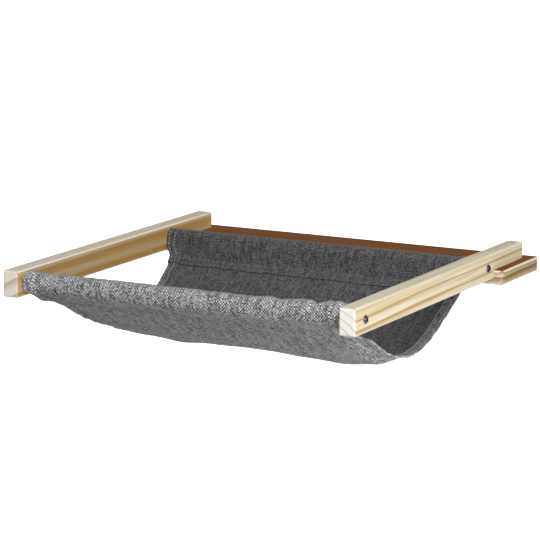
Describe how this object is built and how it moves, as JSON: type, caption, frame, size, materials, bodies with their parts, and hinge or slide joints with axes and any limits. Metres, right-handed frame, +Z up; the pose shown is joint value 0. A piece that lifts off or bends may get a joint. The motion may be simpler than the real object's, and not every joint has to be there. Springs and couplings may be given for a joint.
{
  "type": "cat hammock",
  "caption": "Cat hammock: a grey cloth sling hung by sleeves on round rods between pine arms, which reach out from a flat board that is screwed to a sill or shelf.",
  "frame": {"origin": "centre of the board's underside, the face that lies on the sill or shelf", "axes": "+X to the hammock's right seen from its open front, +Y to the rear, from the sling to the board, +Z up"},
  "size_m": [0.53, 0.52, 0.1176],
  "materials": {
    "arm_pine": "planed and sanded pine, clear",
    "board_pine": "planed pine, darker and browner",
    "rod_beech": "turned and sanded dowel",
    "plug_pine": "cut plug, sanded flush",
    "sling_cloth": "heather weave, matte",
    "bolt_steel": "blackened, satin",
    "screw_zinc": "zinc plated",
    "insert_brass": "turned"
  },
  "bodies": {
    "root": {"left_arm": "arm_pine", "right_arm": "arm_pine", "back_board": "board_pine", "front_rod": "rod_beech", "rear_rod": "rod_beech", "sling": "sling_cloth", "front_left_rod_bolt": "bolt_steel", "front_left_rod_insert": "insert_brass", "front_left_board_screw": "screw_zinc", "front_left_plug": "plug_pine", "front_right_rod_bolt": "bolt_steel", "front_right_rod_insert": "insert_brass", "front_right_board_screw": "screw_zinc", "front_right_plug": "plug_pine", "rear_left_rod_bolt": "bolt_steel", "rear_left_rod_insert": "insert_brass", "rear_left_board_screw": "screw_zinc", "rear_left_plug": "plug_pine", "rear_right_rod_bolt": "bolt_steel", "rear_right_rod_insert": "insert_brass", "rear_right_board_screw": "screw_zinc", "rear_right_plug": "plug_pine"}
  },
  "joints": []
}
